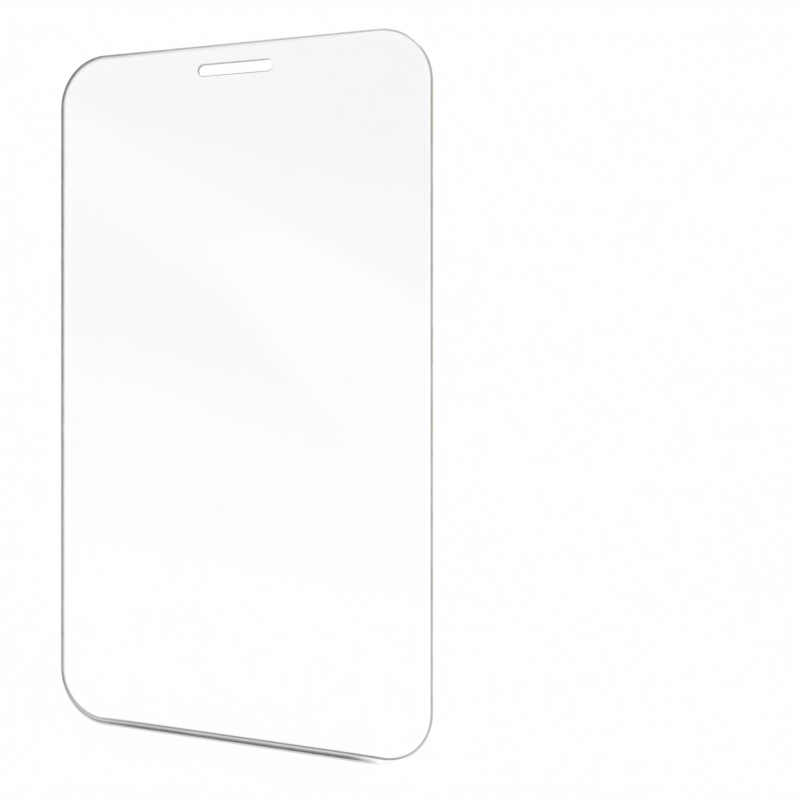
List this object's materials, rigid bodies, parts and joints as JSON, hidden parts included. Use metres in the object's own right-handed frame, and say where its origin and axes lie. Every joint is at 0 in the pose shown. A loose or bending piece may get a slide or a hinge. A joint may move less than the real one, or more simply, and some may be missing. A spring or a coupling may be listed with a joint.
{
  "type": "phone screen protector",
  "caption": "Flat clear tempered-glass sheet with rounded corners, a curved ground rim and an earpiece slot, to lay over a phone's screen.",
  "frame": {"origin": "centre of the sheet's outline, on its flat back face", "axes": "+X across the sheet's width, +Y along its length towards the earpiece slot, +Z out of its front face; it lies on its back with the curved rim up"},
  "size_m": [0.072, 0.125, 0.0005],
  "materials": {
    "glass": "polished clear faces with a finely ground edge"
  },
  "bodies": {
    "root": {"protector_glass": "glass"}
  },
  "joints": []
}
